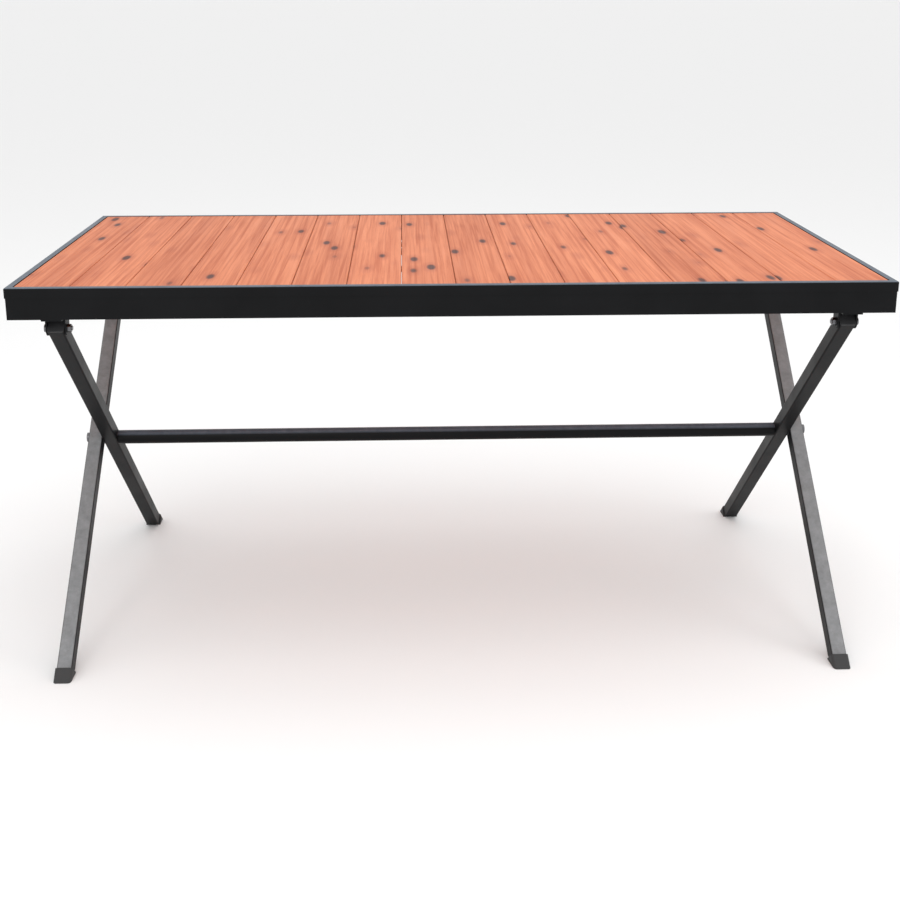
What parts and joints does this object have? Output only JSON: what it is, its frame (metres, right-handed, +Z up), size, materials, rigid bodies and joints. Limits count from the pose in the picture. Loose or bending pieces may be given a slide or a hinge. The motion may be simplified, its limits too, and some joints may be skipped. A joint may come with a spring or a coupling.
{
  "type": "folding table",
  "caption": "Rectangular folding table: wooden boards in a black steel rim, on crossed square-tube legs joined by a round stretcher.",
  "frame": {"origin": "on the floor, under the middle of the top", "axes": "+Z up, +X along the table's length, -Y towards the front, where the hinged legs meet the top"},
  "size_m": [1.54, 0.772, 0.74],
  "materials": {
    "black_steel": "satin black powder coat",
    "boards": "oiled reddish softwood",
    "fasteners": "dark zinc plate",
    "nylon": "black nylon",
    "rubber_feet": "matt black rubber"
  },
  "bodies": {
    "top": {"front_rail": "black_steel", "rear_rail": "black_steel", "left_rail": "black_steel", "right_rail": "black_steel", "front_stringer": "black_steel", "rear_stringer": "black_steel", "board_screws": "fasteners", "left_hinge_bracket": "black_steel", "right_hinge_bracket": "black_steel", "hinge_bolts": "fasteners", "hinge_nuts": "fasteners", "left_rod_rest": "black_steel", "right_rod_rest": "black_steel", "left_rod_stop": "black_steel", "right_rod_stop": "black_steel", "board_01": "boards", "board_02": "boards", "board_03": "boards", "board_04": "boards", "board_05": "boards", "board_06": "boards", "board_07": "boards", "board_08": "boards", "board_09": "boards", "board_10": "boards", "board_11": "boards", "board_12": "boards", "board_13": "boards", "board_14": "boards", "board_15": "boards", "board_16": "boards"},
    "hinged_legs": {"left_hinged_leg": "black_steel", "right_hinged_leg": "black_steel", "stretcher": "black_steel", "left_stretcher_insert": "fasteners", "right_stretcher_insert": "fasteners", "left_pivot_bolt": "fasteners", "right_pivot_bolt": "fasteners", "pivot_washers": "nylon", "hinge_bushes": "nylon", "left_hinged_leg_foot": "rubber_feet", "right_hinged_leg_foot": "rubber_feet", "hinged_leg_plugs": "nylon"},
    "swing_legs": {"left_swing_leg": "black_steel", "right_swing_leg": "black_steel", "rear_rod": "black_steel", "rod_end_caps": "nylon", "left_pivot_bush": "nylon", "right_pivot_bush": "nylon", "left_swing_leg_foot": "rubber_feet", "right_swing_leg_foot": "rubber_feet", "swing_leg_plugs": "nylon"}
  },
  "joints": [
    {"name": "leg_fold", "type": "hinge", "parent": "top", "child": "hinged_legs", "pos_m": [0, -0.3366, 0.66], "axis": [1, 0, 0], "range_deg": [0, 40]},
    {"name": "cross_pivot", "type": "hinge", "parent": "hinged_legs", "child": "swing_legs", "pos_m": [0, 0, 0.342], "axis": [1, 0, 0], "range_deg": [-80, 0]}
  ],
  "couplings": [
    {"joint": "cross_pivot", "follows": "leg_fold", "ratio": -2}
  ]
}
